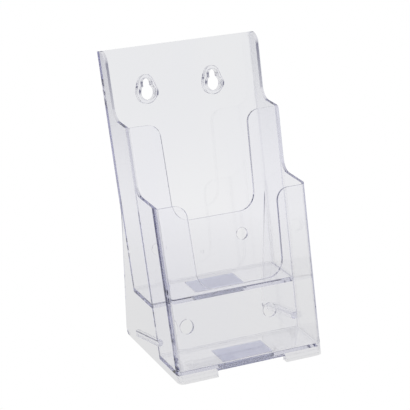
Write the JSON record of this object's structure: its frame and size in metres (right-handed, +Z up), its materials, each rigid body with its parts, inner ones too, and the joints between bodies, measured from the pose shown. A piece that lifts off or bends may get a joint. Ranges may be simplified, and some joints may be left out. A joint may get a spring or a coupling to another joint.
{
  "type": "leaflet rack",
  "caption": "Clear plastic tiered leaflet rack with leaning pockets, finger cut-outs and keyhole collars, for a counter top or a wall.",
  "frame": {"origin": "on the ground, at the middle of the rack's width and depth", "axes": "+X across the rack to the right as seen from the front, +Y to the back, +Z up"},
  "size_m": [0.1156, 0.121, 0.1985],
  "materials": {
    "clear_plastic": "clear polished styrene with a faint violet-blue cast at its edges",
    "tinted_pad": "finely grooved, smoky blue"
  },
  "bodies": {
    "root": {"back_panel": "clear_plastic", "middle_panel": "clear_plastic", "front_panel": "clear_plastic", "left_side_panel": "clear_plastic", "right_side_panel": "clear_plastic", "rear_pocket_floor": "clear_plastic", "front_pocket_floor": "clear_plastic", "rear_floor_pad": "tinted_pad", "front_floor_pad": "tinted_pad", "left_keyhole_boss": "clear_plastic", "right_keyhole_boss": "clear_plastic", "left_brace_post": "clear_plastic", "right_brace_post": "clear_plastic", "left_front_foot": "clear_plastic", "right_front_foot": "clear_plastic"}
  },
  "joints": []
}
